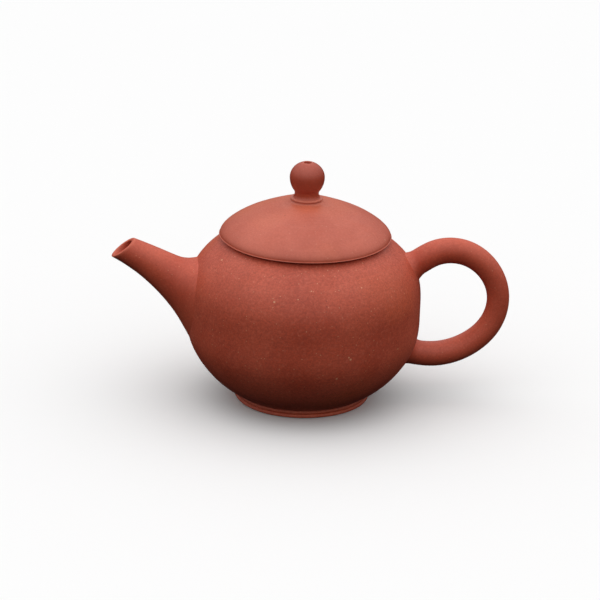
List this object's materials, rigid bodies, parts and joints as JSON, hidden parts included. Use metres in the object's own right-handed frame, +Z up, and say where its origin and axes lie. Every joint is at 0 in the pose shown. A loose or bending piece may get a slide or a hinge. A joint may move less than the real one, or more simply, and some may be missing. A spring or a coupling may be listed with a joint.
{
  "type": "teapot",
  "caption": "Small round clay teapot with a straight tapered spout, an ear-shaped loop handle and a domed lid with a ball knob, for brewing and pouring tea.",
  "frame": {"origin": "middle of the part's box, on the table under the foot; the pot's own turning axis lies 2.53 mm from it towards the spout", "axes": "+X along the handle, -X along the spout, +Z up along the lid's lift"},
  "size_m": [0.135, 0.0794, 0.083],
  "materials": {
    "body_clay": "satin, burnished unglazed stoneware with fine sand specks",
    "lid_clay": "satin, burnished unglazed stoneware",
    "inside_clay": "matte, scraped unglazed stoneware"
  },
  "bodies": {
    "pot": {"foot_ring": "body_clay", "base_disc": "body_clay", "belly_wall": "body_clay", "shoulder_disc": "body_clay", "mouth_ring": "body_clay", "spout": "body_clay", "strainer": "inside_clay", "handle": "body_clay"},
    "lid_flange_ring": {"lid_flange": "inside_clay"},
    "lid": {"lid_disc": "lid_clay", "lid_rim": "lid_clay", "knob_collar": "lid_clay", "knob": "lid_clay"}
  },
  "joints": [
    {"name": "lid_lift", "type": "slide", "parent": "pot", "child": "lid_flange_ring", "axis": [0, 0, 1], "range_m": [0, 0.08]},
    {"name": "lid_turn", "type": "hinge", "parent": "lid_flange_ring", "child": "lid", "pos_m": [-0.00253, 0, 0.0573], "axis": [0, 0, 1], "continuous": true}
  ]
}
